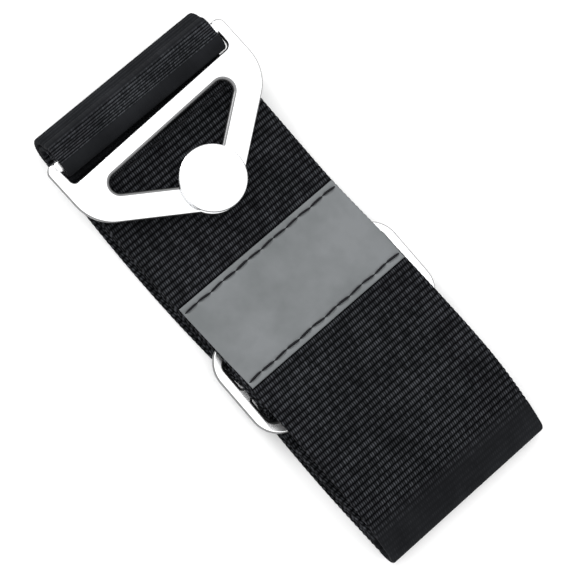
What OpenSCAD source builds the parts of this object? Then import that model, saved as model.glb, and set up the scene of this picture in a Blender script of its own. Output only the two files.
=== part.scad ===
// Folded webbing tourniquet: one long strap, a hook plate caught on a stud, and a slider.
// X runs along the strap, with the hook plate at -X and the fold at +X. Z is up, and the
// lowest ply lies on z = 0. All sizes are in millimetres.

/* [Strap] */
// Width of the webbing
strap_w = 50.8; // [50:0.2:50.8]
// Thickness of the webbing
strap_t = 1.7; // [1.4:0.1:1.7]
// Room between two plies that lie on each other
ply_gap = 0.3; // [0.2:0.05:0.3]
// How far the lowest ply lies to the left of the slider's middle
lower_shift = 0.3; // [0:0.1:0.3]
// How much further the lowest ply bows to the left between the plate and the slider
lower_bow = 1.2; // [0:0.1:1.5]
// How far the part round the hook plate's bar lies to the right of the webbing's middle
roll_shift = 0.7; // [0.5:0.1:0.8]
// How far the stud is set to the right of the webbing's middle
stud_shift = 1.95; // [1.8:0.05:2]
// Where the top run ends, beyond the stud
stud_end = 18.7; // [18:0.1:19]
// From the stud to the fold's outer edge
fold_reach = 100; // [99:0.5:101]
// Radius of the fold, at the middle of the webbing
fold_r = 3.1; // [3:0.1:3.2]
// How steeply the top run comes down into the fold, in degrees
fold_lean = 33; // [32:0.5:34]
// From the stud to the top run's highest place
peak_reach = 73; // [72:0.5:74]
// Length of the hem at the free end
hem_len = 29; // [26:0.5:29]

/* [Hook plate] */
// Width of the plate
plate_w = 58.4; // [58:0.2:59]
// Thickness of the plate
plate_t = 2; // [1.8:0.1:2]
// How much the plate leans up towards its bar, in degrees
plate_tilt = 3.2; // [3.2:0.1:3.4]
// How much the plate is turned on the stud, in degrees
plate_turn = 2.2; // [2:0.1:2.2]
// Width of the bar that the webbing goes round
bar_w = 3.2; // [3:0.1:3.2]
// Gap between the bar and the crossbar
slot_gap = 4.1; // [4.1:0.1:4.2]
// Width of the crossbar
crossbar_w = 4.4; // [4.2:0.1:4.4]
// From the crossbar to the middle of the stud
window_base = 17; // [16.8:0.1:17.2]
// Angle of the legs from the plate's cross direction, in degrees
leg_angle = 55; // [54:1:56]
// Radius of the plate round the stud
boss_r = 8.5; // [8.3:0.1:8.6]
// Radius of the hole round the stud's shank
keyhole_r = 2.7; // [2.65:0.05:2.8]

/* [Stud] */
// Diameter of the cap
cap_d = 17.1; // [16.8:0.1:17.2]
// Thickness of the cap at its middle
cap_t = 1.8; // [1.6:0.1:2.2]
// Diameter of the shank
shank_d = 4; // [3.8:0.1:4.1]
// Diameter of the pin
pin_d = 2.4; // [2.2:0.1:2.4]
// Diameter of the tack's head
tack_d = 12; // [10:0.5:14]

/* [Slider] */
// Length of the slider along the strap
slider_len = 28.4; // [28.4:0.1:28.8]
// Width of the slider across the strap
slider_w = 57.8; // [57.8:0.1:58.2]
// Thickness of the slider
slider_t = 2.2; // [2:0.1:2.2]
// Width of the two end bars
end_bar_w = 4.4; // [4.2:0.1:4.4]
// Width of the centre bar
centre_bar_w = 3.6; // [3:0.1:3.6]
// Width of the two side bars
side_bar_w = 3; // [2.8:0.1:3]
// From the stud to the middle of the slider
slider_reach = 45.3; // [45:0.1:45.5]

/* [Label] */
// From the stud to the label
label_reach = 19.1; // [19:0.1:20]
// Length of the label along the strap
label_len = 26.1; // [24:0.1:26.5]
// Thickness of the label
label_t = 0.5; // [0.3:0.1:0.6]
// Length of one stitch
stitch_len = 3; // [2:0.1:3.2]
// From the start of one stitch to the start of the next
stitch_pitch = 4.1; // [3.6:0.1:5]
// From the label's edge to its stitches
stitch_inset = 1.7; // [1.5:0.1:4]

/* [Hidden] */
$fn = 64;

webbing_color = [0.07, 0.07, 0.08];
label_color = [0.5, 0.52, 0.53];
steel_color = [0.82, 0.83, 0.85];
thread_color = [0.12, 0.12, 0.13];

// Heights, from the lowest ply up. Each is the middle of a ply unless it says otherwise.
half_t = strap_t / 2;
ply_step = strap_t + ply_gap;
lower_z = half_t;
return_z = lower_z + ply_step;
return_top = return_z + half_t;
slider_z = return_top + ply_gap;
weave_z = slider_z + slider_t + 0.2 + half_t;
tack_head_t = 0.55;
washer_t = 0.3;
washer_gap = 0.02;
strap_under_stud = return_top + ply_gap + tack_head_t + washer_t + 2 * washer_gap;
stud_ply_z = strap_under_stud + half_t;
stud_ply_top = stud_ply_z + half_t;
hump_z = weave_z + ply_step + 2 * half_t + 0.35;
fold_z = lower_z + fold_r;
plate_z = stud_ply_top + 0.3 + boss_r * sin(plate_tilt);
cap_z = plate_z + plate_t + 0.75;

// Places along the strap and across it. The pack's middle is at x = 0, y = 0.
stud_x = -32.33;
strap_y = -0.63;
stud_y = strap_y + stud_shift;
slider_x = stud_x + slider_reach;
label_gap = 0.05;
fold_x = stud_x + fold_reach - half_t - fold_r;
hem_r = ply_step / 2;
free_end_x = fold_x - 3;

// The top run's shape, as places that it goes through: [x, z, slope]
rise = [stud_x + 14, stud_ply_z, 0];
over = [slider_x - 2, hump_z, 0.15];
dive_end = [fold_x + fold_r * sin(fold_lean), fold_z + fold_r * cos(fold_lean)];
peak_x = stud_x + peak_reach;
peak = [peak_x, dive_end[1] + (dive_end[0] - peak_x) * tan(fold_lean) / 2, 0];
dive = tan(fold_lean) / 2 / (dive_end[0] - peak_x);

// Hook plate, from the middle of the stud, with x along the strap and y across it
plate_shift = -0.3;
slot_front = -(window_base + crossbar_w);
bar_x = slot_front - slot_gap - bar_w;
slot_half = strap_w / 2 + 0.7;
slot_corner_r = 1.4;
bar_clear = 0.15;
roll_r = plate_t / 2 + bar_clear + half_t;
roll_z = plate_t / 2;
roll_front_x = slot_front - 1.2 - half_t - roll_r;
roll_rear_x = roll_front_x - 4.3;
leg_inner = 0.6;
shoulder_r = 12;
shoulder_x = -17.4;
window_corner_r = 2.55;
plate_corner_r = 2;

// Slider, from its middle
slot_len = (slider_len - 2 * end_bar_w - centre_bar_w) / 2;
slot_far_r = 2.2;
slot_near_r = 0.6;
slider_corner_r = 8;
weave_angle = 50;
weave_in_r = half_t + 0.3;
weave_out_r = weave_in_r + ply_step;
weave_top_x = slider_x - centre_bar_w / 2 - 0.1;
weave_line = weave_z - lower_z - (weave_in_r + weave_out_r) * (1 - cos(weave_angle));
weave_low_x = weave_top_x - (weave_in_r + weave_out_r) * sin(weave_angle)
    - weave_line / tan(weave_angle);
weave_start_x = weave_low_x - 0.2;
weave_end_x = 2 * slider_x - weave_start_x;

// A path is a list of [x, z, heading]: a point in the XZ plane and the way it goes, in degrees.
function arc_path(c, r, from, to, steps) =
    [for (i = [0:steps]) let (a = from + (to - from) * i / steps)
        [c[0] + r * cos(a), c[1] + r * sin(a), a + 90 * sign(to - from)]];
function ease(s) = s * s * (3 - 2 * s);
function between(x, a, b) = let (w = b[0] - a[0], s = (x - a[0]) / w)
    [x, a[1] + (b[1] - a[1]) * ease(s) + w * (a[2] * s * (1 - s) ^ 2 - b[2] * s ^ 2 * (1 - s)),
        atan((b[1] - a[1]) / w * 6 * s * (1 - s) + a[2] * (1 - s) * (1 - 3 * s)
            + b[2] * s * (3 * s - 2))];
function level(from, to) = [for (i = [0:12]) [from + (to - from) * i / 12, lower_z, 0]];
function moved_path(p, d) = [for (q = p) [q[0] - d * sin(q[2]), q[1] + d * cos(q[2])]];
function backwards(p) = [for (i = [len(p) - 1:-1:0]) p[i]];
function circle_points(c, r, from, to, steps) =
    [for (i = [0:steps]) let (a = from + (to - from) * i / steps) c + r * [cos(a), sin(a)]];

// The top run's path: flat under the stud, up over the slider, and down into the fold
function top_at(x) =
    x < rise[0] ? [x, stud_ply_z, 0] :
    x < over[0] ? between(x, rise, over) :
    x < peak_x ? between(x, over, peak) :
    [x, peak[1] - dive * (x - peak_x) ^ 2, -atan(2 * dive * (x - peak_x))];
function top_path(from, to, steps) = [for (i = [0:steps]) top_at(from + (to - from) * i / steps)];

// The lower ply's path through the slider: up, over the centre bar and down again
function weave_rise() = concat(
    [[weave_start_x, lower_z, 0]],
    arc_path([weave_low_x, lower_z + weave_out_r], weave_out_r, -90, weave_angle - 90, 8),
    arc_path([weave_top_x, weave_z - weave_in_r], weave_in_r, 90 + weave_angle, 90, 8));
function weave_path() = let (up = weave_rise())
    concat(up, [for (q = backwards(up)) [2 * slider_x - q[0], q[1], -q[2]]]);

// From the hook plate's own frame to the XZ plane
function leaned(q) = [stud_x + q[0] * cos(plate_tilt) + q[1] * sin(plate_tilt),
    plate_z - q[0] * sin(plate_tilt) + q[1] * cos(plate_tilt), q[2] - plate_tilt];

// The two plies turn down round the rear end on one centre
roll_rear = leaned([roll_rear_x, roll_z, 0]);
roll_under = leaned([roll_rear_x, roll_z - roll_r, 0]);
inner_turn_r = (roll_under[1] - return_z) / (1 + cos(plate_tilt));
outer_turn_r = inner_turn_r + ply_step;
turn_x = roll_under[0] - inner_turn_r * sin(plate_tilt);
turn_z = return_z + inner_turn_r;

// The outer ply bends back between the roll and the turn, on a circle that touches both
valley_r = half_t + 0.1;
valley_to_roll = roll_r + valley_r;
valley_to_turn = outer_turn_r + valley_r;
roll_off = [roll_rear[0] - turn_x, roll_rear[1] - turn_z];
roll_dist = norm(roll_off);
valley_swing = acos((valley_to_turn ^ 2 + roll_dist ^ 2 - valley_to_roll ^ 2)
    / (2 * valley_to_turn * roll_dist));
turn_top_angle = atan2(roll_off[1], roll_off[0]) + valley_swing;
valley_x = turn_x + valley_to_turn * cos(turn_top_angle);
valley_z = turn_z + valley_to_turn * sin(turn_top_angle);
roll_start_angle = atan2(valley_z - roll_rear[1], valley_x - roll_rear[0]);
seam = 0.1;

// One ply of webbing along a path, between two distances from it, at one place across
module ply(path, across = 0, low = -half_t, high = half_t) {
    translate([0, strap_y + across + strap_w / 2, 0])
        rotate([90, 0, 0])
            linear_extrude(strap_w)
                polygon(concat(moved_path(path, low), backwards(moved_path(path, high))));
}

// One ply of webbing that moves across along its path, and bows to the left on the way
module skewed_ply(path, from, to, bow = 0) {
    n = len(path);
    low = moved_path(path, -half_t);
    high = moved_path(path, half_t);
    across = [for (i = [0:n - 1]) let (t = i / (n - 1))
        strap_y + from + (to - from) * ease(t) - 4 * bow * t * (1 - t)];
    points = [for (i = [0:n - 1]) each [
        [low[i][0], across[i] - strap_w / 2, low[i][1]],
        [low[i][0], across[i] + strap_w / 2, low[i][1]],
        [high[i][0], across[i] + strap_w / 2, high[i][1]],
        [high[i][0], across[i] - strap_w / 2, high[i][1]]]];
    walls = [for (i = [0:n - 2]) for (k = [0:3]) let (a = 4 * i + k, b = 4 * i + (k + 1) % 4)
        each [[a, b, b + 4], [a, b + 4, a + 4]]];
    polyhedron(points, concat([[3, 2, 1, 0]], walls,
        [[4 * n - 4, 4 * n - 3, 4 * n - 2, 4 * n - 1]]));
}

// A flat plate from an outline that is given for one side and mirrored to the other
module both_sides(half) {
    polygon(concat(half, [for (q = backwards(half)) [q[0], -q[1]]]));
}

// A row of stitches across the strap, on a surface at height z that slopes by an angle
module stitch_row(x, z, slope = 0) {
    count = floor((strap_w - 1) / stitch_pitch);
    first = strap_y - ((count - 1) * stitch_pitch + stitch_len) / 2;
    color(thread_color)
        for (i = [0:count - 1])
            translate([x, first + i * stitch_pitch, z])
                rotate([0, -slope, 0])
                    translate([0, 0, 0.2])
                        rotate([-90, 0, 0])
                            cylinder(d = 0.7, h = stitch_len, $fn = 16);
}

module strap_top_run() {
    color(webbing_color)
        difference() {
            ply(concat([top_at(stud_x - stud_end)], top_path(rise[0], dive_end[0], 60)));
            translate([stud_x, stud_y, strap_under_stud - 1])
                cylinder(d = pin_d + 0.3, h = strap_t + 2);
        }
}

module strap_fold() {
    color(webbing_color)
        ply(arc_path([fold_x, fold_z], fold_r, 90 - fold_lean, -90, 24));
}

module strap_lower_front() {
    color(webbing_color)
        skewed_ply(level(weave_end_x, fold_x), -lower_shift, 0, lower_bow / 3);
}

module strap_lower_weave() {
    color(webbing_color)
        ply(weave_path(), -lower_shift);
}

module strap_lower_rear() {
    color(webbing_color)
        skewed_ply(level(turn_x, weave_start_x), 0, -lower_shift, lower_bow);
}

module strap_outer_turn() {
    valley_from = turn_top_angle - 180;
    valley_to = roll_start_angle + 180 - 360;
    color(webbing_color)
        skewed_ply(concat(
            arc_path([turn_x, turn_z], outer_turn_r, 270, turn_top_angle, 20),
            arc_path([valley_x, valley_z], valley_r, valley_from + 2,
                valley_to - seam / valley_r * 60, 6)), 0, roll_shift);
}

module strap_hook_roll() {
    color(webbing_color)
        ply([for (q = concat(
            arc_path([roll_rear_x, roll_z], roll_r, roll_start_angle + plate_tilt, 90, 12),
            arc_path([roll_front_x, roll_z], roll_r, 90, -90, 24),
            [[roll_rear_x, roll_z - roll_r, -180]])) leaned(q)], roll_shift);
}

module strap_inner_turn() {
    start = 90 - plate_tilt + seam / inner_turn_r * 60;
    color(webbing_color)
        skewed_ply(arc_path([turn_x, turn_z], inner_turn_r, start, 270, 20), roll_shift, 0);
}

module strap_return_run() {
    color(webbing_color)
        ply([[turn_x, return_z, 0], [weave_start_x, return_z, 0]]);
}

module strap_return_weave() {
    color(webbing_color)
        ply(weave_path(), 0, ply_step - half_t, ply_step + half_t);
}

module strap_free_end() {
    color(webbing_color)
        ply([[weave_end_x, return_z, 0], [free_end_x - half_t - hem_r, return_z, 0]]);
}

module free_end_hem() {
    hem_bend = [free_end_x - half_t - hem_r, return_z + hem_r];
    color(webbing_color)
        ply(concat(arc_path(hem_bend, hem_r, -90, 90, 16),
            [[free_end_x - hem_len, return_z + ply_step, 180]]));
}

module hem_stitches() {
    stitch_row(free_end_x - hem_len + 4, return_z + ply_step + half_t);
}

module stud_end_stitches() {
    stitch_row(stud_x - stud_end + 3, stud_ply_top - 0.3);
}

module label_patch() {
    from = stud_x + label_reach;
    color(label_color)
        ply(top_path(from, from + label_len, 32), 0, half_t + label_gap, half_t + label_t);
}

// A row of stitches on the label, above the place x on the top run
module label_stitches(x) {
    on = top_at(x);
    top = half_t + label_t;
    stitch_row(on[0] - top * sin(on[2]), on[1] + top * cos(on[2]), on[2]);
}

module label_stitches_hook_side() {
    label_stitches(stud_x + label_reach + stitch_inset);
}

module label_stitches_fold_side() {
    label_stitches(stud_x + label_reach + label_len - stitch_inset);
}

// Outline of one side of the hook plate: rear corner, shoulder, leg and boss
function plate_half() = let (
    half = plate_w / 2,
    leg_outer = (half - shoulder_r) * cos(leg_angle) + shoulder_x * sin(leg_angle) + shoulder_r,
    boss_start = 90 - leg_angle + acos(leg_outer / boss_r))
    concat(
        circle_points([bar_x + plate_corner_r, half - plate_corner_r], plate_corner_r, 180, 90, 8),
        circle_points([shoulder_x, half - shoulder_r], shoulder_r, 90, 90 - leg_angle, 16),
        circle_points([0, 0], boss_r, boss_start, 4, 16));

// Outline of one side of the window: its rounded corner, down to the point under the stud
function window_half() = let (
    corner_x = window_corner_r - window_base,
    corner_y = (leg_inner - window_corner_r - corner_x * sin(leg_angle)) / cos(leg_angle))
    concat(
        circle_points([corner_x, corner_y], window_corner_r, 180, 90 - leg_angle, 16),
        [[leg_inner / sin(leg_angle) - 0.02, 0.01]]);

// One side of the opening behind the crossbar, open at the rear; the bar is put back across it
function opening_half() = concat([[bar_x - 1, slot_half]],
    circle_points([slot_front - slot_corner_r, slot_half - slot_corner_r],
        slot_corner_r, 90, 0, 8));

module hook_plate() {
    color(steel_color)
        translate([stud_x, stud_y + plate_shift, plate_z])
            rotate([0, plate_tilt, plate_turn])
                difference() {
                    union() {
                        difference() {
                            linear_extrude(plate_t)
                                both_sides(plate_half());
                            translate([0, 0, -1])
                                linear_extrude(plate_t + 2)
                                    both_sides(opening_half());
                        }
                        translate([bar_x + plate_t / 2, -slot_half, 0])
                            cube([bar_w - plate_t, 2 * slot_half, plate_t]);
                        for (x = [bar_x + plate_t / 2, bar_x + bar_w - plate_t / 2])
                            translate([x, 0, plate_t / 2])
                                rotate([90, 0, 0])
                                    cylinder(d = plate_t, h = 2 * slot_half, center = true);
                    }
                    translate([0, 0, -1])
                        linear_extrude(plate_t + 2)
                            both_sides(window_half());
                    translate([0, 0, -1])
                        cylinder(r = keyhole_r, h = plate_t + 2);
                }
}

// Rounded head with a hollow shank, and a room inside for the pin's spread tip
module stud_cap() {
    rim_r = 0.6;
    shank_from = stud_ply_top + 0.25;
    dome_r = cap_d / 2 - rim_r;
    dome_rise = cap_t - 2 * rim_r;
    rim = circle_points([dome_r, rim_r], rim_r, -90, 80, 10);
    dome = [for (i = [1:9]) let (s = 1 - i / 10) [dome_r * s,
        2 * rim_r + dome_rise * (1 - s * s)]];
    color(steel_color)
        translate([stud_x, stud_y, 0])
            difference() {
                union() {
                    translate([0, 0, cap_z])
                        rotate_extrude($fn = 96)
                            polygon(concat([[0, 0]], rim, dome, [[0, cap_t]]));
                    translate([0, 0, shank_from])
                        cylinder(d = shank_d, h = cap_z - shank_from + 0.1);
                }
                translate([0, 0, shank_from - 1])
                    cylinder(d = pin_d + 0.1, h = cap_z - shank_from + 1.3);
                translate([0, 0, cap_z + 0.2])
                    cylinder(d = pin_d + 1.3, h = 0.8);
            }
}

module stud_tack() {
    color(steel_color)
        translate([stud_x, stud_y, return_top + ply_gap]) {
            tip = cap_z + 0.3 - return_top - ply_gap;
            cylinder(d = tack_d, h = tack_head_t);
            cylinder(d = pin_d, h = tip + 0.1);
            translate([0, 0, tip])
                cylinder(d = pin_d + 1, h = 0.5);
        }
}

module stud_washer() {
    color(steel_color)
        translate([stud_x, stud_y, return_top + ply_gap + tack_head_t + washer_gap])
            difference() {
                cylinder(d = tack_d + 2, h = washer_t);
                translate([0, 0, -1])
                    cylinder(d = pin_d + 0.2, h = washer_t + 2);
            }
}

// Outline of one side of the slider's frame
function frame_half() = let (edge = slider_w / 2 - slider_corner_r)
    concat(
        circle_points([slider_corner_r - slider_len / 2, edge], slider_corner_r, 180, 90, 12),
        circle_points([slider_len / 2 - slider_corner_r, edge], slider_corner_r, 90, 0, 12));

// Outline of one side of a slot, narrow corners at the centre bar and wide ones at the end bar
function slot_side() = let (near = centre_bar_w / 2, far = near + slot_len,
    edge = slider_w / 2 - side_bar_w)
    concat(
        circle_points([near + slot_near_r, edge - slot_near_r], slot_near_r, 180, 90, 5),
        circle_points([far - slot_far_r, edge - slot_far_r], slot_far_r, 90, 0, 8));

module slider_frame() {
    color(steel_color)
        translate([slider_x, strap_y, slider_z])
            difference() {
                linear_extrude(slider_t)
                    both_sides(frame_half());
                for (turn = [0, 180])
                    rotate([0, 0, turn])
                        translate([0, 0, -1])
                            linear_extrude(slider_t + 2)
                                both_sides(slot_side());
            }
}

strap_top_run();
strap_fold();
strap_lower_front();
strap_lower_weave();
strap_lower_rear();
strap_outer_turn();
strap_hook_roll();
strap_inner_turn();
strap_return_run();
strap_return_weave();
strap_free_end();
free_end_hem();
hem_stitches();
stud_end_stitches();
label_patch();
label_stitches_hook_side();
label_stitches_fold_side();
hook_plate();
stud_cap();
stud_tack();
stud_washer();
slider_frame();
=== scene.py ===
"""Looks of the folded tourniquet: ribbed webbing, sewn label, bright steel plate, stud and slider.

Sizes are in millimetres in the CAD's own frame and become metres when a mesh is made.
"""

import math

import bpy
import numpy as np
from mathutils import Matrix, Vector
from mathutils.geometry import tessellate_polygon


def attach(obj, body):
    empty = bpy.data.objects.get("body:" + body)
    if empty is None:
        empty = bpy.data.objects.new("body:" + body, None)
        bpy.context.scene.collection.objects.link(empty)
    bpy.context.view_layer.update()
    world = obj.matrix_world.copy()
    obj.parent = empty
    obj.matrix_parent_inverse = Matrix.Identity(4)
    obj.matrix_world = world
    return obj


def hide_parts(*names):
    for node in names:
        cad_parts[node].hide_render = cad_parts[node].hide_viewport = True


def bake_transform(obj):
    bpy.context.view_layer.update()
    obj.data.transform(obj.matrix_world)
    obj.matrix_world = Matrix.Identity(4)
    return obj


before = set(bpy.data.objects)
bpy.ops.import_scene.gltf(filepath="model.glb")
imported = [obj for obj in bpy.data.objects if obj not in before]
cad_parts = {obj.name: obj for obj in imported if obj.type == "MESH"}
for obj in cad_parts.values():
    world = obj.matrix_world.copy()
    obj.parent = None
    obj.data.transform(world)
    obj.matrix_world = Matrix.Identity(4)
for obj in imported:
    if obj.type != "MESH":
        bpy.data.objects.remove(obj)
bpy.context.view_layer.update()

MM = 0.001

# Strap
STRAP_W = 50.8
STRAP_T = 1.7
HALF_T = STRAP_T / 2
PLY_GAP = 0.3
PLY_STEP = STRAP_T + PLY_GAP
LOWER_SHIFT = 0.3
LOWER_BOW = 1.2
ROLL_SHIFT = 0.7
STRAP_Y = -0.63
STUD_SHIFT = 1.95
STUD_Y = STRAP_Y + STUD_SHIFT
RIB_PITCH = 1.5
RIB_DEPTH = 0.35
YARN_PITCH = 0.6
TURN_RIB_PITCH = 0.95
ROLL_RIB_PITCH = 0.62
ROLL_RIB_DEPTH = 0.28
# Longest step between the rows of a ply's mesh
FINE = 0.1875
# Radius of a ply's rolled edges, and how far its ribs stand out along them
EDGE_R = 0.62
SCALLOP = 0.1

# Heights
LOWER_Z = HALF_T
RETURN_Z = LOWER_Z + PLY_STEP
SLIDER_T = 2.2
SLIDER_Z = RETURN_Z + HALF_T + PLY_GAP
WEAVE_GAP = 0.2
WEAVE_Z = SLIDER_Z + SLIDER_T + WEAVE_GAP + HALF_T
# The tack's head and the washer lie under the stud's ply
TACK_HEAD_T = 0.55
WASHER_T = 0.3
WASHER_GAP = 0.02
UNDER_STUD = TACK_HEAD_T + WASHER_T + 2 * WASHER_GAP
STUD_PLY_Z = RETURN_Z + HALF_T + PLY_GAP + UNDER_STUD + HALF_T
STUD_PLY_TOP = STUD_PLY_Z + HALF_T
HUMP_GAP = 0.35
HUMP_Z = WEAVE_Z + PLY_STEP + STRAP_T + HUMP_GAP
FOLD_R = 3.1
FOLD_LEAN = 33.0
FOLD_Z = LOWER_Z + FOLD_R
PLATE_TILT = 3.2
PLATE_TURN = 2.2
PLATE_T = 2.0
BOSS_R = 8.5
PLATE_Z = STUD_PLY_TOP + PLY_GAP + BOSS_R * math.sin(math.radians(PLATE_TILT))

# Places along the strap
STUD_X = -32.33
STUD_END = 18.7
SLIDER_REACH = 45.3
SLIDER_X = STUD_X + SLIDER_REACH
FOLD_REACH = 100
FOLD_X = STUD_X + FOLD_REACH - HALF_T - FOLD_R
# Where the top run's ribs are pressed flat on their way to the fold
PRESSED_FROM = FOLD_X - 8
PRESSED_LEN = 5
PEAK_REACH = 73
HEM_LEN = 29.0
HEM_R = PLY_STEP / 2
SLIDER_LEN = 28.4
SLIDER_W = 57.8
END_BAR = 4.4
CENTRE_BAR = 3.6
SIDE_BAR = 3.0
FREE_END_BACK = 3
FREE_END_X = FOLD_X - FREE_END_BACK
LABEL_REACH = 19.1
LABEL_FROM = STUD_X + LABEL_REACH
LABEL_LEN = 26.1
LABEL_T = 0.5
LABEL_GAP = 0.05
LABEL_MARGIN = 0.35
STITCH_LEN = 3.0
STITCH_PITCH = 4.1
STITCH_INSET = 1.7
STITCHES = int((STRAP_W - 1) // STITCH_PITCH)
THREAD_R = 0.3

# Hook plate, from the middle of the stud
PLATE_W = 58.4
PLATE_SHIFT = -0.3
WINDOW_BASE = 17.0
CROSSBAR = 4.4
SLOT_GAP = 4.1
BAR_W = 3.2
SLOT_FRONT = -(WINDOW_BASE + CROSSBAR)
BAR_X = SLOT_FRONT - SLOT_GAP - BAR_W
SLOT_SPARE = 0.7
SLOT_HALF = STRAP_W / 2 + SLOT_SPARE
SLOT_CORNER_R = 1.4
LEG_ANGLE = 55.0
LEG_INNER = 0.6
SHOULDER_R = 12.0
SHOULDER_X = -17.4
KEYHOLE_R = 2.7
WINDOW_CORNER_R = 2.55
PLATE_CORNER_R = 2.0
ROLL_GAP = 0.15
ROLL_R = PLATE_T / 2 + ROLL_GAP + HALF_T
SLOT_SLACK = 1.2
ROLL_FRONT_X = SLOT_FRONT - SLOT_SLACK - HALF_T - ROLL_R
ROLL_LEN = 4.3
ROLL_REAR_X = ROLL_FRONT_X - ROLL_LEN
# The roll's middle, which keeps its ribs, from the middle of the stud
ROLL_RIBS_FROM = -30.8
ROLL_RIBS = 8
ROLL_RIBS_TO = ROLL_RIBS_FROM + ROLL_RIBS * ROLL_RIB_PITCH
PLATE_BEVEL = 0.6
SLIDER_BEVEL = 0.55
# How much wider the bevels round the holes are than the outer ones
HOLE_BEVEL = 1.4


def sind(a):
    return math.sin(math.radians(a))


def cosd(a):
    return math.cos(math.radians(a))


def ease(t):
    t = np.clip(t, 0, 1)
    return t * t * (3 - 2 * t)


# ---------------------------------------------------------------- the strap's centre line

PATH_STEP = 0.1


def arc(centre, radius, start, end):
    """Rows of x, z and heading in degrees on an arc in the XZ plane."""
    steps = max(8, math.ceil(abs(math.radians(end - start)) * radius / PATH_STEP))
    a = np.linspace(start, end, steps + 1)
    return np.column_stack(
        [
            centre[0] + radius * np.cos(np.radians(a)),
            centre[1] + radius * np.sin(np.radians(a)),
            a + (90 if end > start else -90),
        ]
    )


def line(x0, x1, z, heading):
    steps = max(2, math.ceil(abs(x1 - x0) / 0.5))
    x = np.linspace(x0, x1, steps + 1)
    return np.column_stack([x, np.full_like(x, z), np.full_like(x, heading)])


def shifted(path, d):
    """The same path, d to the left of its heading."""
    h = np.radians(path[:, 2])
    out = path.copy()
    out[:, 0] -= d * np.sin(h)
    out[:, 1] += d * np.cos(h)
    return out


def leaned(path):
    """From the hook plate's own frame to the strap's."""
    out = path.copy()
    out[:, 0] = STUD_X + path[:, 0] * cosd(PLATE_TILT) + path[:, 1] * sind(PLATE_TILT)
    out[:, 1] = PLATE_Z - path[:, 0] * sind(PLATE_TILT) + path[:, 1] * cosd(PLATE_TILT)
    out[:, 2] -= PLATE_TILT
    return out


def reverse(path):
    out = path[::-1].copy()
    out[:, 2] += 180
    return out


# Places, heights and slopes that the top run passes
RISE = (STUD_X + 14, STUD_PLY_Z, 0.0)
OVER = (SLIDER_X - 2, HUMP_Z, 0.15)
DIVE_END = (FOLD_X + FOLD_R * sind(FOLD_LEAN), FOLD_Z + FOLD_R * cosd(FOLD_LEAN))
PEAK_X = STUD_X + PEAK_REACH
FALL = math.tan(math.radians(FOLD_LEAN)) / 2
PEAK = (PEAK_X, DIVE_END[1] + (DIVE_END[0] - PEAK_X) * FALL, 0.0)
DIVE = FALL / (DIVE_END[0] - PEAK_X)


def between(x, a, b):
    """Height and slope on a smooth curve from one x, z and slope to another."""
    w = b[0] - a[0]
    s = np.clip((x - a[0]) / w, 0, 1)
    z = a[1] + (b[1] - a[1]) * ease(s)
    z = z + w * (a[2] * s * (1 - s) ** 2 - b[2] * s**2 * (1 - s))
    slope = (b[1] - a[1]) / w * 6 * s * (1 - s)
    slope = slope + a[2] * (1 - s) * (1 - 3 * s) + b[2] * s * (3 * s - 2)
    return z, slope


def top_path(x0, x1):
    """The top run: flat under the stud, up over the slider, and down into the fold."""
    x = np.linspace(x0, x1, max(2, math.ceil((x1 - x0) / PATH_STEP)) + 1)
    places = [x < RISE[0], x < OVER[0], x < PEAK_X]
    first, second = between(x, RISE, OVER), between(x, OVER, PEAK)
    z = np.select(
        places, [STUD_PLY_Z + 0 * x, first[0], second[0]], PEAK[1] - DIVE * (x - PEAK_X) ** 2
    )
    slope = np.select(places, [0 * x, first[1], second[1]], -2 * DIVE * (x - PEAK_X))
    return np.column_stack([x, z, np.degrees(np.arctan(slope))])


def weave_path():
    """The lower ply through the slider, towards +X."""
    angle, inner = 50.0, HALF_T + PLY_GAP
    outer = inner + PLY_STEP
    top_x = SLIDER_X - CENTRE_BAR / 2 - 0.1
    rise = WEAVE_Z - LOWER_Z - (inner + outer) * (1 - cosd(angle))
    low_x = top_x - (inner + outer) * sind(angle) - rise / math.tan(math.radians(angle))
    up = np.vstack(
        [
            [[low_x - 0.2, LOWER_Z, 0]],
            arc((low_x, LOWER_Z + outer), outer, -90, angle - 90),
            arc((top_x, WEAVE_Z - inner), inner, 90 + angle, 90),
        ]
    )
    down = up[::-1].copy()
    down[:, 0] = 2 * SLIDER_X - down[:, 0]
    down[:, 2] *= -1
    return np.vstack([up, down])


roll_rear = leaned(np.array([[ROLL_REAR_X, PLATE_T / 2, 0.0]]))[0]
roll_under = leaned(np.array([[ROLL_REAR_X, PLATE_T / 2 - ROLL_R, 0.0]]))[0]
INNER_R = (roll_under[1] - RETURN_Z) / (1 + cosd(PLATE_TILT))
OUTER_R = INNER_R + PLY_STEP
TURN_X = roll_under[0] - INNER_R * sind(PLATE_TILT)
TURN_Z = RETURN_Z + INNER_R
VALLEY_R = HALF_T + 0.1
offset = np.array([roll_rear[0] - TURN_X, roll_rear[1] - TURN_Z])
reach = np.linalg.norm(offset)
swing = math.acos(
    ((OUTER_R + VALLEY_R) ** 2 + reach**2 - (ROLL_R + VALLEY_R) ** 2)
    / (2 * (OUTER_R + VALLEY_R) * reach)
)
TURN_TOP = math.degrees(math.atan2(offset[1], offset[0]) + swing)
VALLEY = (
    TURN_X + (OUTER_R + VALLEY_R) * cosd(TURN_TOP),
    TURN_Z + (OUTER_R + VALLEY_R) * sind(TURN_TOP),
)
ROLL_START = math.degrees(
    math.atan2(VALLEY[1] - roll_rear[1], VALLEY[0] - roll_rear[0])
)

weave = weave_path()
WEAVE_START, WEAVE_END = weave[0, 0], weave[-1, 0]
HEM_BEND = (FREE_END_X - HALF_T - HEM_R, RETURN_Z + HEM_R)

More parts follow.
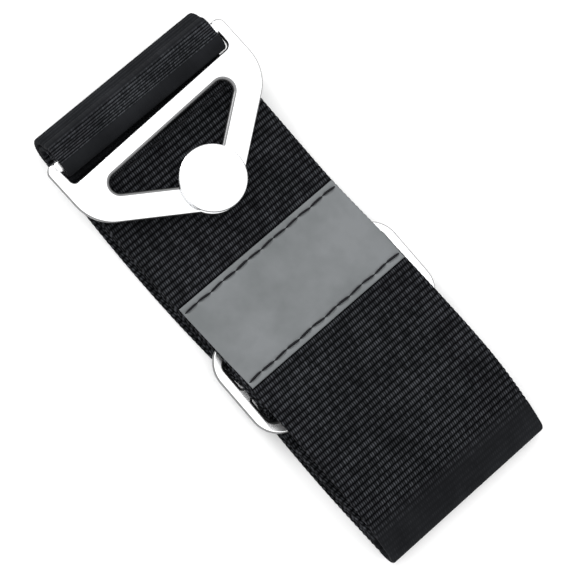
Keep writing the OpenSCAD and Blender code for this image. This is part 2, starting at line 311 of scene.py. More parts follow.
# Node, its path in the strap's own direction, how far across it starts and ends, how far it
# bows to the left, and the rib pitch
SECTIONS = [
    ("strap_top_run", top_path(STUD_X - STUD_END, DIVE_END[0]), 0, 0, 0, RIB_PITCH),
    ("strap_fold", arc((FOLD_X, FOLD_Z), FOLD_R, 90 - FOLD_LEAN, -90), 0, 0, 0, RIB_PITCH),
    (
        "strap_lower_front",
        line(FOLD_X, WEAVE_END, LOWER_Z, -180),
        0,
        -LOWER_SHIFT,
        LOWER_BOW / 3,
        RIB_PITCH,
    ),
    ("strap_lower_weave", reverse(weave), -LOWER_SHIFT, -LOWER_SHIFT, 0, RIB_PITCH),
    (
        "strap_lower_rear",
        line(WEAVE_START, TURN_X, LOWER_Z, 180),
        -LOWER_SHIFT,
        0,
        LOWER_BOW,
        RIB_PITCH,
    ),
    (
        "strap_outer_turn",
        np.vstack(
            [
                arc((TURN_X, TURN_Z), OUTER_R, 270, TURN_TOP),
                arc(VALLEY, VALLEY_R, TURN_TOP - 180, ROLL_START - 180),
            ]
        ),
        0,
        ROLL_SHIFT,
        0,
        TURN_RIB_PITCH,
    ),
    (
        "strap_hook_roll",
        leaned(
            np.vstack(
                [
                    arc((ROLL_REAR_X, PLATE_T / 2), ROLL_R, ROLL_START + PLATE_TILT, 90),
                    arc((ROLL_FRONT_X, PLATE_T / 2), ROLL_R, 90, -90),
                    [[ROLL_REAR_X, PLATE_T / 2 - ROLL_R, -180]],
                ]
            )
        ),
        ROLL_SHIFT,
        ROLL_SHIFT,
        0,
        ROLL_RIB_PITCH,
    ),
    (
        "strap_inner_turn",
        arc((TURN_X, TURN_Z), INNER_R, 90 - PLATE_TILT, 270),
        ROLL_SHIFT,
        0,
        0,
        RIB_PITCH,
    ),
    ("strap_return_run", line(TURN_X, WEAVE_START, RETURN_Z, 0), 0, 0, 0, RIB_PITCH),
    ("strap_return_weave", shifted(weave, PLY_STEP), 0, 0, 0, RIB_PITCH),
    ("strap_free_end", line(WEAVE_END, HEM_BEND[0], RETURN_Z, 0), 0, 0, 0, RIB_PITCH),
    (
        "free_end_hem",
        np.vstack(
            [
                arc(HEM_BEND, HEM_R, -90, 90),
                [[FREE_END_X - HEM_LEN, RETURN_Z + PLY_STEP, 180]],
            ]
        ),
        0,
        0,
        0,
        RIB_PITCH,
    ),
]


def sampled(path, y0, y1, bow, pitch):
    """Evenly spaced rows of x, z, heading, y and distance along, about eight to a rib."""
    step = np.hypot(np.diff(path[:, 0]), np.diff(path[:, 1]))
    keep = np.concatenate([[True], step > 1e-6])
    path = path[keep]
    s = np.concatenate(
        [[0], np.cumsum(np.hypot(np.diff(path[:, 0]), np.diff(path[:, 1])))]
    )
    count = max(8, math.ceil(s[-1] / min(FINE, pitch / 6)))
    at = np.linspace(0, s[-1], count + 1)
    x, z, h = (np.interp(at, s, path[:, k]) for k in range(3))
    t = at / s[-1]
    y = STRAP_Y + y0 + (y1 - y0) * ease(t) - 4 * bow * t * (1 - t)
    return x, z, h, y, at


# ---------------------------------------------------------------- meshes


def waves(a, b, seed):
    """A smooth uneven field of a and b, about -1 to 1, the same for the same seed."""
    count = 5
    rng = np.random.RandomState(seed)
    out = np.zeros(np.broadcast(a, b).shape)
    for _ in range(count):
        fa, fb = rng.uniform(0.4, 1.6, 2)
        pa, pb = rng.uniform(0, 2 * math.pi, 2)
        out = out + np.sin(a * fa + pa + 1.3 * np.sin(b * fb + pb))
    return out / count


def mesh_object(name, points, faces, uv=None, sharp=60):
    """A smooth mesh object from points in millimetres, with its faces pointing outwards."""
    points = np.asarray(points, float) * MM
    mesh = bpy.data.meshes.new(name)
    mesh.from_pydata(points.tolist(), [], [list(map(int, f)) for f in faces])
    if uv is not None:
        layer = mesh.uv_layers.new(name="weave")
        corner = np.zeros(len(mesh.loops), np.int32)
        mesh.loops.foreach_get("vertex_index", corner)
        layer.data.foreach_set("uv", np.asarray(uv, np.float32)[corner].ravel())
    mesh.update()
    tri = mesh.loop_triangles
    mesh.calc_loop_triangles()
    index = np.zeros(len(tri) * 3, np.int32)
    tri.foreach_get("vertices", index)
    p = points[index.reshape(-1, 3)]
    if np.einsum("ij,ij->i", p[:, 0], np.cross(p[:, 1], p[:, 2])).sum() < 0:
        mesh.flip_normals()
    mesh.shade_smooth()
    mesh.set_sharp_from_angle(angle=math.radians(sharp))
    obj = bpy.data.objects.new(name, mesh)
    bpy.context.scene.collection.objects.link(obj)
    return obj


def ring(columns):
    """Places round the ply: across, height as a share of half the thickness, side, rib share."""
    inner = STRAP_W / 2 - EDGE_R
    across = np.linspace(-inner, inner, columns + 1)
    top = [(v, HALF_T, 1, 1.0) for v in across]
    right = []
    for a in (70, 48, 24, 0):
        right.append(
            (inner + EDGE_R * cosd(a), HALF_T - EDGE_R + EDGE_R * sind(a), 1, sind(a))
        )
    right = right + [(v, -h, -1, r) for v, h, _, r in right[::-1]]
    bottom = [(v, -HALF_T, -1, 1.0) for v in np.linspace(inner, -inner, 25)]
    left = [(-v, h, side, r) for v, h, side, r in right[::-1]]
    return np.array(top + right + bottom + left)


def ply_mesh(name, rows, phase, depth, columns, yarn=0.0):
    """One section of webbing: a closed ribbon with cross ribs, yarn humps and rolled edges."""
    x, z, h, y, _ = rows
    v, height, side, share = ring(columns).T
    rib_at = phase[:, None] + 0 * v[None, :]
    crest = 1 - np.abs(2 * (rib_at % 1) - 1) ** 1.8
    low = (1 - crest) * depth[:, None] * share[None, :]
    index = np.floor(rib_at + 1e-6)
    if yarn:
        bump = 0.5 - 0.5 * np.cos(2 * math.pi * (v[None, :] / YARN_PITCH + 0.5 * index))
        uneven = 0.75 + 0.5 * waves(v[None, :] / 0.9, index * 2.3, 3)
        low = low + yarn * crest * (1 - bump) * uneven * share[None, :]
    out = height[None, :] - side[None, :] * low
    scallop = SCALLOP * (1 + 1.5 * ease((x - STUD_X - 76) / 10))[:, None]
    edge = np.sign(v) * scallop * (1 - share[None, :]) * (1 - crest) * (depth[:, None] > 0.1)
    across = v[None, :] - edge
    along = 0.07 * waves(v[None, :] / 5.0, index * 0.9, 11) * np.ones_like(out)
    nx, nz = -np.sin(np.radians(h)), np.cos(np.radians(h))
    points = np.stack(
        [
            x[:, None] + out * nx[:, None] + along * nz[:, None],
            y[:, None] + across,
            z[:, None] + out * nz[:, None] - along * nx[:, None],
        ],
        axis=-1,
    )
    points[0, :, 0] -= along[0] * nz[0]
    points[-1, :, 0] -= along[-1] * nz[-1]
    points[0, :, 2] += along[0] * nx[0]
    points[-1, :, 2] += along[-1] * nx[-1]
    n, m = points.shape[:2]
    i, j = np.meshgrid(np.arange(n - 1), np.arange(m), indexing="ij")
    a = i * m + j
    b = i * m + (j + 1) % m
    faces = np.stack([a, b, b + m, a + m], axis=-1).reshape(-1, 4).tolist()
    faces += [list(range(m))[::-1], list(range((n - 1) * m, n * m))]
    uv = np.stack([rib_at, v[None, :] + 0 * rib_at], axis=-1).reshape(-1, 2)
    return mesh_object(name, points.reshape(-1, 3), faces, uv, sharp=75)


# ---------------------------------------------------------------- materials


class Nodes:
    """Short calls for building a material's node tree."""

    def __init__(self, name):
        self.material = bpy.data.materials.new(name)
        self.material.use_nodes = True
        self.tree = self.material.node_tree
        self.shader = self.tree.nodes["Principled BSDF"]

    def node(self, kind, **settings):
        n = self.tree.nodes.new(kind)
        for key, value in settings.items():
            setattr(n, key, value)
        return n

    def link(self, source, target):
        if isinstance(source, (int, float)):
            target.default_value = source
        elif isinstance(source, tuple):
            target.default_value = (*source, 1.0)
        else:
            self.tree.links.new(source, target)

    def math(self, operation, *values, clamp=False):
        n = self.node("ShaderNodeMath", operation=operation, use_clamp=clamp)
        for value, socket in zip(values, n.inputs):
            self.link(value, socket)
        return n.outputs[0]

    def mix(self, factor, a, b):
        n = self.node("ShaderNodeMix", data_type="RGBA")
        self.link(factor, n.inputs[0])
        self.link(a, n.inputs[6])
        self.link(b, n.inputs[7])
        return n.outputs[2]

    def ramp(self, value, low, high, to_low=0.0, to_high=1.0):
        n = self.node("ShaderNodeMapRange")
        for socket, v in zip(n.inputs, (value, low, high, to_low, to_high)):
            self.link(v, socket)
        return n.outputs[0]

    def noise(self, vector, scale, detail=3.0, roughness=0.5):
        n = self.node("ShaderNodeTexNoise")
        self.link(vector, n.inputs["Vector"])
        n.inputs["Scale"].default_value = scale
        n.inputs["Detail"].default_value = detail
        n.inputs["Roughness"].default_value = roughness
        return n.outputs[0]

    def vector(self, x, y, z=0.0):
        n = self.node("ShaderNodeCombineXYZ")
        for value, socket in zip((x, y, z), n.inputs):
            self.link(value, socket)
        return n.outputs[0]

    def place(self):
        return self.node("ShaderNodeTexCoord").outputs["Object"]

    def bump(self, height, distance, strength=1.0):
        n = self.node("ShaderNodeBump")
        n.inputs["Strength"].default_value = strength
        n.inputs["Distance"].default_value = distance
        self.link(height, n.inputs["Height"])
        self.link(n.outputs[0], self.shader.inputs["Normal"])

    def set(self, **values):
        for key, value in values.items():
            self.shader.inputs[key.replace("_", " ")].default_value = value


def webbing_material():
    """Black ribbed weave: each rib is a row of yarns that show in turn with the next rib's. Its
    colour paints shade into the grooves and highlights on the yarn tops.
    """
    t = Nodes("webbing")
    uv = t.node("ShaderNodeUVMap", uv_map="weave").outputs[0]
    parts = t.node("ShaderNodeSeparateXYZ")
    t.link(uv, parts.inputs[0])
    phase, across = parts.outputs[0], parts.outputs[1]
    rib = t.math("FLOOR", phase)
    in_rib = t.math("FRACT", phase)
    arch = t.math("ABSOLUTE", t.math("MULTIPLY_ADD", in_rib, 2.0, -1.0))
    crest = t.math("SUBTRACT", 1.0, t.math("POWER", arch, 1.4))
    stagger = t.math("MULTIPLY", rib, 0.5)
    drift = t.math("MULTIPLY", t.noise(t.vector(phase, across), 0.35, 2.0), 0.7)
    slant = t.math("MULTIPLY", in_rib, 0.35)
    yarn = t.math("DIVIDE", across, YARN_PITCH)
    yarn = t.math("ADD", t.math("ADD", yarn, stagger), t.math("ADD", drift, slant))
    number = t.math("FLOOR", yarn)
    side = t.math("ABSOLUTE", t.math("MULTIPLY_ADD", t.math("FRACT", yarn), 2.0, -1.0))
    hump = t.math("SUBTRACT", 1.0, t.math("POWER", side, 1.3))
    white = t.node("ShaderNodeTexWhiteNoise", noise_dimensions="2D")
    t.link(t.vector(rib, number), white.inputs["Vector"])
    chance = t.ramp(white.outputs[0], 0.0, 1.0, 0.4, 1.2)
    split = t.node("ShaderNodeSeparateXYZ")
    t.link(t.place(), split.inputs[0])
    along = split.outputs[0]

    def step_at(x, width):
        return t.ramp(along, (x - width / 2) * MM, (x + width / 2) * MM)

    # tight plain ribs on the roll, and rows of separate yarn tops elsewhere
    on_roll = t.math("SUBTRACT", 1.0, step_at(STUD_X + SLOT_FRONT - 0.1, 0.5))
    tops = t.math("MAXIMUM", t.math("POWER", hump, 1.6), t.math("MULTIPLY", on_roll, 0.55))
    peak = t.math("MULTIPLY", t.math("POWER", crest, 1.4), tops)
    body = t.math("MULTIPLY", crest, 0.05)
    tick = t.math("MULTIPLY", t.math("ADD", body, peak), chance)

    # the ribs are pressed smooth at the fold and on both sides of the roll's middle
    from_middle = step_at(STUD_X + ROLL_RIBS_FROM, 0.4)
    past_middle = step_at(STUD_X + ROLL_RIBS_TO - 0.06, 0.5)
    middle = t.math("SUBTRACT", from_middle, past_middle)
    ribbed = t.math("SUBTRACT", 1.0, t.math("MULTIPLY", on_roll, t.math("SUBTRACT", 1.0, middle)))
    pressed = step_at(PRESSED_FROM + PRESSED_LEN / 2, PRESSED_LEN)
    fold = t.math("SUBTRACT", 1.0, t.math("MULTIPLY", pressed, 0.88))
    shown = t.math("MULTIPLY", t.math("MAXIMUM", ribbed, 0.1), fold)
    tick = t.math("ADD", t.math("MULTIPLY", tick, shown), t.math("MULTIPLY_ADD", shown, -0.17, 0.17))
    patch = t.ramp(t.noise(t.place(), 90.0, 3.0), 0.35, 0.65, 0.8, 1.2)
    # the rib and yarn pattern sets the colour: painted shade, near black, in the grooves and painted
    # highlights on the yarn tops
    light = t.math("MULTIPLY", tick, patch, clamp=True)
    groove_shade_color, yarn_highlight_color = (0.0005, 0.0006, 0.0008), (0.056, 0.059, 0.066)
    t.link(t.mix(light, groove_shade_color, yarn_highlight_color), t.shader.inputs["Base Color"])
    t.link(t.ramp(tick, 0.0, 1.0, 0.78, 0.5), t.shader.inputs["Roughness"])
    fibre = t.noise(t.vector(t.math("MULTIPLY", phase, 3.0), across), 9.0, 4.0, 0.65)
    height = t.math("ADD", tick, t.math("MULTIPLY", fibre, 0.35))
    t.bump(height, 0.00012, 0.8)
    t.set(Specular_IOR_Level=0.02, Sheen_Weight=0.005, Sheen_Roughness=0.45)
    return t.material


def label_material():
    """Grey coated cloth with soft mottling and a fine even grain."""
    t = Nodes("label_cloth")
    place = t.place()
    broad = t.noise(place, 75.0, 3.0, 0.55)
    fine = t.noise(place, 420.0, 2.0)
    tone = t.math("ADD", t.math("MULTIPLY", broad, 0.8), t.math("MULTIPLY", fine, 0.2))
    grey = t.mix(t.ramp(tone, 0.36, 0.64), (0.098, 0.106, 0.109), (0.132, 0.14, 0.146))
    t.link(grey, t.shader.inputs["Base Color"])
    t.link(t.ramp(fine, 0.3, 0.7, 0.42, 0.58), t.shader.inputs["Roughness"])
    uv = t.node("ShaderNodeUVMap", uv_map="weave").outputs[0]
    parts = t.node("ShaderNodeSeparateXYZ")
    t.link(uv, parts.inputs[0])
    grain = t.math(
        "MULTIPLY",
        t.math("SINE", t.math("MULTIPLY", parts.outputs[0], 14.0)),
        t.math("SINE", t.math("MULTIPLY", parts.outputs[1], 14.0)),
    )
    height = t.math("ADD", t.math("MULTIPLY", grain, 0.25), broad)
    t.bump(height, 0.00008, 0.5)
    t.set(Specular_IOR_Level=0.4, Sheen_Weight=0.08)
    return t.material


def thread_material():
    """Dark sewing thread with a fine twist."""
    t = Nodes("thread")
    uv = t.node("ShaderNodeUVMap", uv_map="weave").outputs[0]
    parts = t.node("ShaderNodeSeparateXYZ")
    t.link(uv, parts.inputs[0])
    twist = t.math("MULTIPLY_ADD", parts.outputs[0], 14.0, parts.outputs[1])
    strand = t.math("SINE", twist)
    fuzz = t.noise(t.place(), 3500.0, 2.0)
    tone = t.math("ADD", t.math("MULTIPLY", strand, 0.4), fuzz)
    t.link(
        t.mix(t.ramp(tone, 0.1, 0.9), (0.002, 0.002, 0.003), (0.012, 0.012, 0.014)),
        t.shader.inputs["Base Color"],
    )
    t.link(t.ramp(fuzz, 0.3, 0.7, 0.5, 0.7), t.shader.inputs["Roughness"])
    t.bump(strand, 0.00006, 0.6)
    t.set(Specular_IOR_Level=0.1, Sheen_Weight=0.02)
    return t.material


def steel_material(name, rough_low, rough_high, shade=1.0):
    """Bright plated steel with faint handling marks. A shade below 1 darkens it into painted shade.
    """
    t = Nodes(name)
    place = t.place()
    cloud = t.noise(place, 130.0, 4.0, 0.6)
    stretch = t.node("ShaderNodeMapping")
    stretch.inputs["Scale"].default_value = (1.0, 0.12, 1.0)
    t.link(place, stretch.inputs["Vector"])
    scratch = t.noise(stretch.outputs[0], 2600.0, 3.0, 0.7)
    t.link(
        t.mix(
            t.ramp(cloud, 0.3, 0.7),
            tuple(shade * c for c in (0.86, 0.865, 0.875)),
            tuple(shade * c for c in (0.93, 0.93, 0.935)),
        ),
        t.shader.inputs["Base Color"],
    )
    wear = t.math("ADD", t.math("MULTIPLY", cloud, 0.7), t.math("MULTIPLY", scratch, 0.3))
    t.link(
        t.ramp(wear, 0.35, 0.65, rough_low, rough_high), t.shader.inputs["Roughness"]
    )
    t.bump(t.math("ADD", scratch, t.math("MULTIPLY", cloud, 0.4)), 0.000012, 0.35)
    t.set(Metallic=1.0)
    return t.material


webbing = webbing_material()
label_cloth = label_material()
thread = thread_material()
steel = steel_material("bright_steel", 0.2, 0.32)
inner_steel = steel_material("inner_steel", 0.3, 0.42)
# a darker copy of the steel: painted shade on the rounded rims, standing in for the dark strap
# reflected there
painted_shade_steel = steel_material("painted_shade_steel", 0.3, 0.4, 0.22)


def finished(obj, material, slot, *nodes):
    """The piece's material and the CAD nodes that it stands for, which are hidden. The slot is not
    used.
    """
    if material:
        obj.data.materials.append(material)
    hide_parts(*nodes)
    return obj


# ---------------------------------------------------------------- the strap


def rib_depth(name, rows):
    """How deep the ribs are along a section."""
    x, z, _, _, s = rows
    depth = np.full_like(s, RIB_DEPTH)
    if name == "strap_top_run":
        depth *= 1 - 0.97 * ease((x - PRESSED_FROM) / PRESSED_LEN)
    elif name == "strap_fold":
        depth *= 0.03
    elif name == "strap_outer_turn":
        depth *= 0.6 * (1 - ease((s - s[-1] + 1.6) / 0.8))
    elif name == "strap_hook_roll":
        u = x - STUD_X
        middle = ease((u - ROLL_RIBS_FROM + 0.2) / 0.4)
        middle *= 1 - ease((u - ROLL_RIBS_TO + 0.26) / 0.5)
        depth = ROLL_RIB_DEPTH * middle * (z > roll_rear[1])
    return depth


strap = {}
phase = 0.0
for name, path, y0, y1, bow, pitch in SECTIONS:
    rows = sampled(path, y0, y1, bow, pitch)
    steps = phase + rows[4] / pitch
    phase = steps[-1]
    if name == "strap_hook_roll":
        count = (rows[0] - STUD_X - ROLL_RIBS_FROM) / ROLL_RIB_PITCH
        steps = np.where(count < 0, 0.3, np.where(count < ROLL_RIBS, count, ROLL_RIBS + 0.12))
    shown = name == "strap_top_run"
    piece = ply_mesh(
        name + "_webbing",
        rows,
        steps,
        rib_depth(name, rows),
        columns=352 if shown else 120,
        yarn=0.06 if shown else 0.0,
    )
    strap[name] = finished(piece, webbing, "webbing", name)

for name in ("strap_top_run", "strap_fold", "free_end_hem"):
    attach(strap[name], "strap")
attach(strap["strap_hook_roll"], "hook")
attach(strap["strap_lower_weave"], "slider")
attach(strap["strap_return_weave"], "slider")


for name in ("strap_outer_turn", "strap_inner_turn"):
    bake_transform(strap[name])
for name, fixed, moving in (
    ("strap_lower_rear", TURN_X, WEAVE_START),
    ("strap_return_run", TURN_X, WEAVE_START),
    ("strap_lower_front", FOLD_X, WEAVE_END),
    ("strap_free_end", HEM_BEND[0], WEAVE_END),
):
    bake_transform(strap[name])


# ---------------------------------------------------------------- label and stitches


def label_mesh():
    """The sewn patch: a thin sheet that dips at its stitches and swells between them."""
    rows = sampled(top_path(LABEL_FROM, LABEL_FROM + LABEL_LEN), 0, 0, 0, RIB_PITCH)
    x, z, h, y, s = rows
    half = STRAP_W / 2 - LABEL_MARGIN
    v = np.linspace(-half, half, 170)
    low, high = HALF_T + LABEL_GAP, HALF_T + LABEL_T - 0.06
    first = -((STITCHES - 1) * STITCH_PITCH + STITCH_LEN) / 2
    in_stitch = ((v - first) % STITCH_PITCH) / STITCH_LEN
    pull = np.where(in_stitch < 1, 0.6 + 0.4 * np.cos(2 * np.pi * in_stitch), 1.0)
    dip = np.zeros((len(s), len(v)))
    for at in (STITCH_INSET, s[-1] - STITCH_INSET):
        dip += np.exp(-(((s - at) / 0.55) ** 2))[:, None] * pull[None, :]
    swell = 0.05 * waves(s[:, None] / 4.0, v[None, :] / 5.0, 21)
    edge = np.minimum(s, s[-1] - s)[:, None] + 0 * v[None, :]
    edge = np.minimum(edge, (half - np.abs(v))[None, :])
    round_off = 0.16 * (1 - np.sqrt(np.clip(1 - (1 - np.clip(edge / 0.3, 0, 1)) ** 2, 0, 1)))
    top = high - 0.2 * dip + swell * np.clip(edge / 2, 0, 1) - round_off
    ripple = 0.16 * waves(s[:, None] / 3.0, v[None, :] * 0 + 2.0, 31)
    nx, nz = -np.sin(np.radians(h))[:, None], np.cos(np.radians(h))[:, None]

    def layer(out):
        return np.stack(
            [
                x[:, None] + out * nx,
                y[:, None] + v[None, :] + ripple * (v[None, :] / half) ** 3,
                z[:, None] + out * nz,
            ],
            axis=-1,
        )

    upper, lower = layer(top), layer(np.full_like(top, low))
    n, m = top.shape
    points = np.concatenate([upper.reshape(-1, 3), lower.reshape(-1, 3)])
    index = np.arange(n * m).reshape(n, m)
    a, b, c, d = index[:-1, :-1], index[1:, :-1], index[1:, 1:], index[:-1, 1:]
    faces = np.stack([a, b, c, d], -1).reshape(-1, 4).tolist()
    under = n * m
    faces += (np.stack([d, c, b, a], -1).reshape(-1, 4) + under).tolist()
    rim = np.concatenate(
        [index[:, 0], index[-1, 1:], index[-2::-1, -1], index[0, -2:0:-1]]
    )
    around = np.roll(rim, -1)
    faces += np.stack([around, rim, rim + under, around + under], -1).tolist()
    uv = np.stack([s[:, None] + 0 * top, v[None, :] + 0 * top], -1).reshape(-1, 2)
    return mesh_object("label_cloth_patch", points, faces, np.concatenate([uv, uv]))


def stitch_mesh(name, x, z, slope, middle, lift=0.2, seed=0):
    """A row of sewn stitches across the strap: short threads that dive in at both ends."""
    count = STITCHES
    first = middle - ((count - 1) * STITCH_PITCH + STITCH_LEN) / 2
    rng = np.random.RandomState(seed)
    t = np.linspace(0, 1, 13)
    sides = 10
    points, faces, uv = [], [], []
    for k in range(count):
        lean = rng.uniform(0.05, 0.14) * (1 if k % 2 else -1)
        grow = 1.3 + rng.uniform(-0.1, 0.1)
        thick = THREAD_R * rng.uniform(0.9, 1.1)
        along = (t - 0.5) * (STITCH_LEN + grow)
        height = lift + 0.1 - 0.55 * np.abs(2 * t - 1) ** 3
        size = thick * np.sqrt(np.clip(1 - np.abs(2 * t - 1) ** 2.5, 0.12, 1))
        off = np.sin((t - 0.5) * math.pi) * lean
        start = len(points)
        for i in range(len(t)):
            for q in range(sides):
                a = 2 * math.pi * q / sides
                dx, dz = off[i] + size[i] * math.cos(a), height[i] + size[i] * 0.8 * math.sin(a)
                points.append(
                    (
                        x + dx * cosd(slope) - dz * sind(slope),
                        first + k * STITCH_PITCH + STITCH_LEN / 2 + along[i],
                        z + dx * sind(slope) + dz * cosd(slope),
                    )
                )
                uv.append((along[i], a))
        for i in range(len(t) - 1):
            for q in range(sides):
                a, b = start + i * sides + q, start + i * sides + (q + 1) % sides
                faces.append((a, a + sides, b + sides, b))
        faces.append([start + q for q in range(sides)])
        faces.append([start + (len(t) - 1) * sides + q for q in range(sides)][::-1])
    return mesh_object(name, points, faces, uv)


label = finished(label_mesh(), label_cloth, "label_cloth", "label_patch")
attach(label, "strap")


def on_label(x):
    """Place and slope of the label's face above a place on the top run."""
    row = shifted(top_path(x, x + 0.1), HALF_T + LABEL_T)[0]
    return row


for node, at, seed in (
    ("label_stitches_hook_side", LABEL_FROM + STITCH_INSET, 5),
    ("label_stitches_fold_side", LABEL_FROM + LABEL_LEN - STITCH_INSET, 6),
):
    x, z, slope = on_label(at)
    row = stitch_mesh(node + "_thread", x, z, slope, STRAP_Y, lift=0.08, seed=seed)
    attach(finished(row, thread, "thread", node), "strap")
row = stitch_mesh(
    "stud_end_stitches_thread", STUD_X - STUD_END + 3, STUD_PLY_TOP - 0.3, 0, STRAP_Y, lift=0.15
)
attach(finished(row, thread, "thread", "stud_end_stitches"), "strap")
row = stitch_mesh(
    "hem_stitches_thread",
    FREE_END_X - HEM_LEN + 4,
    RETURN_Z + PLY_STEP + HALF_T,
    0,
    STRAP_Y,
    seed=8,
)
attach(finished(row, thread, "thread", "hem_stitches"), "strap")


# ---------------------------------------------------------------- stamped steel


def circle(cx, cy, r, start, end, steps):
    a = np.radians(np.linspace(start, end, steps + 1))
    return np.column_stack([cx + r * np.cos(a), cy + r * np.sin(a)])


def mirrored(half):
    """A closed outline from its +Y half, which starts and ends on or near the X axis."""
    other = half[::-1] * [1, -1]
    points = np.vstack([half, other])
    gap = np.linalg.norm(points - np.roll(points, 1, axis=0), axis=1)
    return points[gap > 1e-4]


def inward(loop):
    """Unit steps into the material at each point, lengthened at corners. Material is on the left."""
    before = loop - np.roll(loop, 1, axis=0)
    after = np.roll(loop, -1, axis=0) - loop
    before /= np.linalg.norm(before, axis=1, keepdims=True)
    after /= np.linalg.norm(after, axis=1, keepdims=True)
    n0 = np.column_stack([-before[:, 1], before[:, 0]])
    n1 = np.column_stack([-after[:, 1], after[:, 0]])
    middle = n0 + n1
    middle /= np.linalg.norm(middle, axis=1, keepdims=True)
    return middle / np.clip((middle * n1).sum(1), 0.5, 1)[:, None]


def area(loop):
    x, y = loop.T
    return 0.5 * (x * np.roll(y, -1) - y * np.roll(x, -1)).sum()


def stamped(name, outer, holes, thickness, bevel, segments=5):
    """A flat plate with rounded rims, from an outline and its holes. The rims get a darker steel as
    painted shade.
    """
    loops = [outer if area(outer) > 0 else outer[::-1]]
    loops += [hole if area(hole) < 0 else hole[::-1] for hole in holes]
    points, faces = [], []
    tops, bottoms = [], []
    rims = []
    for loop in loops:
        hole = loop is not loops[0]
        last = 2 * segments + 1 if hole else 2 * segments - 1
        rim = bevel * HOLE_BEVEL if hole else bevel
        into = inward(loop)
        rings = []
        for end in (0, 1):
            for k in range(segments + 1):
                a = 90 * k / segments if end else 90 * (segments - k) / segments
                inset = rim * (1 - cosd(a))
                z = rim * (1 - sind(a)) if not end else thickness - rim * (1 - sind(a))
                rings.append((inset, z))
        start = len(points)
        n = len(loop)
        for inset, z in rings:
            for p in loop + into * inset:
                points.append((p[0], p[1], z))
        for r in range(len(rings) - 1):
            for k in range(n):
                a, b = start + r * n + k, start + r * n + (k + 1) % n
                faces.append((a, b, b + n, a + n))
                # faces low on the rim take the darker steel as painted shade: the holes' whole rim,
                # and the outline's rim below its top edge
                if r < last:
                    rims.append(len(faces) - 1)
        bottoms.append(np.arange(start, start + n))
        tops.append(np.arange(start + (len(rings) - 1) * n, start + len(rings) * n))
    for side, flip in ((tops, False), (bottoms, True)):
        flat = [[Vector(points[i]) for i in ids] for ids in side]
        order = np.concatenate(side)
        for triangle in tessellate_polygon(flat):
            ids = [int(order[i]) for i in triangle]
            p, q, r = (Vector(points[i]) for i in ids)
            up = (q - p).cross(r - p).z
            if abs(up) < 1e-9:
                continue
            if (up > 0) == flip:
                ids = ids[::-1]
            faces.append(ids)
    obj = mesh_object(name, points, faces, sharp=40)
    index = np.zeros(len(faces), np.int32)
    index[rims] = 1
    obj.data.materials.append(steel)
    obj.data.materials.append(painted_shade_steel)
    obj.data.polygons.foreach_set("material_index", index)
    return obj


def weighted(obj):
    m = obj.modifiers.new("weighted", "WEIGHTED_NORMAL")
    m.keep_sharp = True
    return obj


def plate_outline():
    half = PLATE_W / 2
    leg = (half - SHOULDER_R) * cosd(LEG_ANGLE) + SHOULDER_X * sind(LEG_ANGLE) + SHOULDER_R
    boss = 90 - LEG_ANGLE + math.degrees(math.acos(leg / BOSS_R))
    return mirrored(
        np.vstack(
            [
                circle(
                    SLOT_FRONT - SLOT_CORNER_R, SLOT_HALF - SLOT_CORNER_R, SLOT_CORNER_R, 0, 90, 8
                ),
                [[BAR_X, SLOT_HALF]],
                circle(BAR_X + PLATE_CORNER_R, half - PLATE_CORNER_R, PLATE_CORNER_R, 180, 90, 12),
                circle(SHOULDER_X, half - SHOULDER_R, SHOULDER_R, 90, 90 - LEG_ANGLE, 28),
                circle(0, 0, BOSS_R, boss, 2, 32),
            ]
        )
    )


def window_outline():
    corner_x = WINDOW_CORNER_R - WINDOW_BASE
    corner_y = (LEG_INNER - WINDOW_CORNER_R - corner_x * sind(LEG_ANGLE)) / cosd(LEG_ANGLE)
    # the legs' inner lines run into the keyhole round the stud's shank
    reach = math.degrees(math.acos(LEG_INNER / KEYHOLE_R))
    keyhole = 90 - LEG_ANGLE + reach
    return mirrored(
        np.vstack(
            [
                circle(corner_x, corner_y, WINDOW_CORNER_R, 180, 90 - LEG_ANGLE, 20),
                circle(0, 0, KEYHOLE_R, keyhole, 3, 20),
            ]
        )
    )


def lean(obj):
    """From the plate's own frame into place."""
    place = Matrix.Translation(Vector((STUD_X, STUD_Y + PLATE_SHIFT, PLATE_Z)) * MM)
    turn = Matrix.Rotation(math.radians(PLATE_TURN), 4, "Z")
    obj.data.transform(place @ turn @ Matrix.Rotation(math.radians(PLATE_TILT), 4, "Y"))
    return obj


def plate_mesh():
    return stamped("hook_plate_steel", plate_outline(), [window_outline()], PLATE_T, PLATE_BEVEL)


def bar_mesh():
    """The bar that the webbing goes round, with round edges."""
    r = PLATE_T / 2
    profile = np.vstack(
        [
            circle(BAR_X + r, r, r, 270, 90, 14),
            circle(BAR_X + BAR_W - r, r, r, 90, -90, 14),
        ]
    )
    reach = SLOT_HALF + 0.8
    n = len(profile)
    points = [(x, y, z) for y in (-reach, reach) for x, z in profile]
    faces = [(k, (k + 1) % n, n + (k + 1) % n, n + k) for k in range(n)]
    faces += [list(range(n))[::-1], list(range(n, 2 * n))]
    return mesh_object("hook_bar_steel", points, faces, sharp=40)


plate = lean(plate_mesh())
bar = lean(bar_mesh())
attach(finished(weighted(plate), None, "bright_steel", "hook_plate"), "hook")
bar.data.materials.append(steel)
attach(bar, "hook")


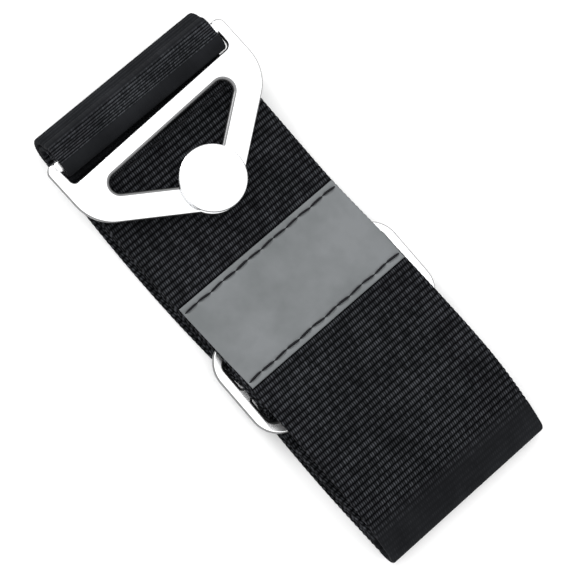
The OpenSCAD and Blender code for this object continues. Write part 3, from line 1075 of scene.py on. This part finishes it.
def slider_mesh():
    corner, far_r, near_r = 8.0, 2.2, 0.6
    edge = SLIDER_W / 2 - corner
    outer = mirrored(
        np.vstack(
            [
                circle(corner - SLIDER_LEN / 2, edge, corner, 180, 90, 20),
                circle(SLIDER_LEN / 2 - corner, edge, corner, 90, 0, 20),
            ]
        )
    )
    near = CENTRE_BAR / 2
    far = SLIDER_LEN / 2 - END_BAR
    side = SLIDER_W / 2 - SIDE_BAR
    slot = mirrored(
        np.vstack(
            [
                circle(near + near_r, side - near_r, near_r, 180, 90, 8),
                circle(far - far_r, side - far_r, far_r, 90, 0, 12),
            ]
        )
    )
    obj = stamped("slider_steel", outer, [slot, slot * -1], SLIDER_T, SLIDER_BEVEL, 6)
    place = Vector((SLIDER_X, STRAP_Y, SLIDER_Z)) * MM
    obj.data.transform(Matrix.Translation(place))
    return obj


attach(finished(weighted(slider_mesh()), None, "bright_steel", "slider_frame"), "slider")

for node, material in (
    ("stud_cap", steel),
    ("stud_tack", inner_steel),
    ("stud_washer", inner_steel),
):
    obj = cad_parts[node]
    obj.data.materials.clear()
    obj.data.materials.append(material)


# ---------------------------------------------------------------- floor, light and camera

floor_mesh = bpy.data.meshes.new("floor")
size = 3.0
floor_mesh.from_pydata(
    [(-size, -size, 0), (size, -size, 0), (size, size, 0), (-size, size, 0)],
    [],
    [(0, 1, 2, 3)],
)
floor = bpy.data.objects.new("floor", floor_mesh)
floor.location.z = -0.0001
bpy.context.scene.collection.objects.link(floor)
t = Nodes("floor_paper")
paper = t.noise(t.place(), 60.0, 2.0)
t.link(
    t.mix(paper, (0.93, 0.93, 0.93), (0.96, 0.96, 0.96)), t.shader.inputs["Base Color"]
)
t.set(Roughness=0.9, Specular_IOR_Level=0.1)
floor_mesh.materials.append(t.material)

world = bpy.data.worlds.new("studio")
bpy.context.scene.world = world
world.use_nodes = True
tree = world.node_tree
background = tree.nodes["Background"]
background.inputs["Color"].default_value = (1.0, 1.0, 1.0, 1.0)
coord = tree.nodes.new("ShaderNodeTexCoord")
split = tree.nodes.new("ShaderNodeSeparateXYZ")
tree.links.new(coord.outputs["Generated"], split.inputs[0])
rise = tree.nodes.new("ShaderNodeMapRange")
tree.links.new(split.outputs[2], rise.inputs[0])
rise.inputs[1].default_value = -0.1
rise.inputs[2].default_value = 0.75
rise.inputs[3].default_value = 0.45
rise.inputs[4].default_value = 1.55
tree.links.new(rise.outputs[0], background.inputs["Strength"])

# Directions in the picture, as seen from above the strap
TILT = 12.0
TURN = 49.3
BACK = Vector((0, -sind(TILT), cosd(TILT)))
RIGHT = Vector((cosd(TURN), sind(TURN) * cosd(TILT), sind(TURN) * sind(TILT)))
UP = BACK.cross(RIGHT)
# The middle of the picture, to the right of the stud's cap and below it
CAP_TOP = PLATE_Z + 4.55
AIM = (Vector((STUD_X, STUD_Y, CAP_TOP)) + RIGHT * 18.0 - UP * 27.0) * MM


def area_light(name, right, up, back, size, power):
    light = bpy.data.lights.new(name, "AREA")
    light.shape = "DISK"
    light.size = size
    light.energy = power
    obj = bpy.data.objects.new(name, light)
    obj.location = AIM + RIGHT * right + UP * up + BACK * back
    obj.rotation_mode = "QUATERNION"
    obj.rotation_quaternion = (obj.location - AIM).to_track_quat("Z", "Y")
    bpy.context.scene.collection.objects.link(obj)


area_light("key", -0.55, 0.6, 0.45, size=0.35, power=4.0)

camera_data = bpy.data.cameras.new("camera")
camera_data.lens = 150
camera_data.sensor_width = 36
VIEW_W = 140.0 * MM
distance = VIEW_W * camera_data.lens / camera_data.sensor_width
camera = bpy.data.objects.new("camera", camera_data)
bpy.context.scene.collection.objects.link(camera)
camera.location = AIM + BACK * distance
camera.rotation_mode = "QUATERNION"
camera.rotation_quaternion = Matrix((RIGHT, UP, BACK)).transposed().to_quaternion()
camera_data.clip_start = 0.01
bpy.context.scene.camera = camera
bpy.context.scene.view_settings.view_transform = "Standard"
